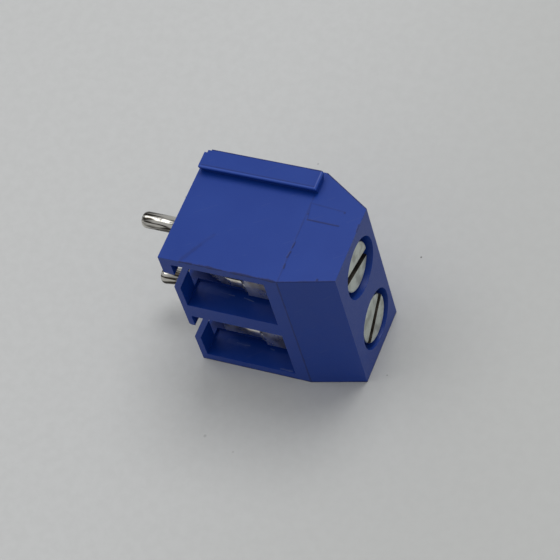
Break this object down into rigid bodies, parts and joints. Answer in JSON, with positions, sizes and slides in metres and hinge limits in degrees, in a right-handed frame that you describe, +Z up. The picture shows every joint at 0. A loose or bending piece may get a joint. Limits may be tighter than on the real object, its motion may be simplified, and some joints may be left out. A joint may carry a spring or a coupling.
{
  "type": "pcb screw terminal",
  "caption": "Screw terminal block for circuit boards: wires enter at the front, slotted screws clamp them from above and round pins solder into the board.",
  "frame": {"origin": "on the board plane, midway between the two solder pins, which stand at the middle of the housing's depth", "axes": "+X along the row of poles, away from the dovetail ridge; -Y the wire entry side; +Z up, away from the board, the way the screws face"},
  "size_m": [0.0105, 0.0074, 0.0132],
  "materials": {
    "housing_plastic": "moulded satin",
    "tinned_metal": "dull tin plate",
    "zinc_steel": "zinc plate",
    "spring_metal": "bright rolled strip"
  },
  "bodies": {
    "block": {"housing": "housing_plastic", "clamp_body_1": "tinned_metal", "clamp_body_2": "tinned_metal", "wire_guard_1": "spring_metal", "wire_guard_2": "spring_metal", "solder_pin_1": "tinned_metal", "solder_pin_2": "tinned_metal"},
    "screw_1": {"terminal_screw_1": "zinc_steel"},
    "screw_2": {"terminal_screw_2": "zinc_steel"}
  },
  "joints": [
    {"name": "screw_1_advance", "type": "slide", "parent": "block", "child": "screw_1", "axis": [0, 0, -1], "range_m": [0, 0.00225]},
    {"name": "screw_2_advance", "type": "slide", "parent": "block", "child": "screw_2", "axis": [0, 0, -1], "range_m": [0, 0.00225]}
  ]
}
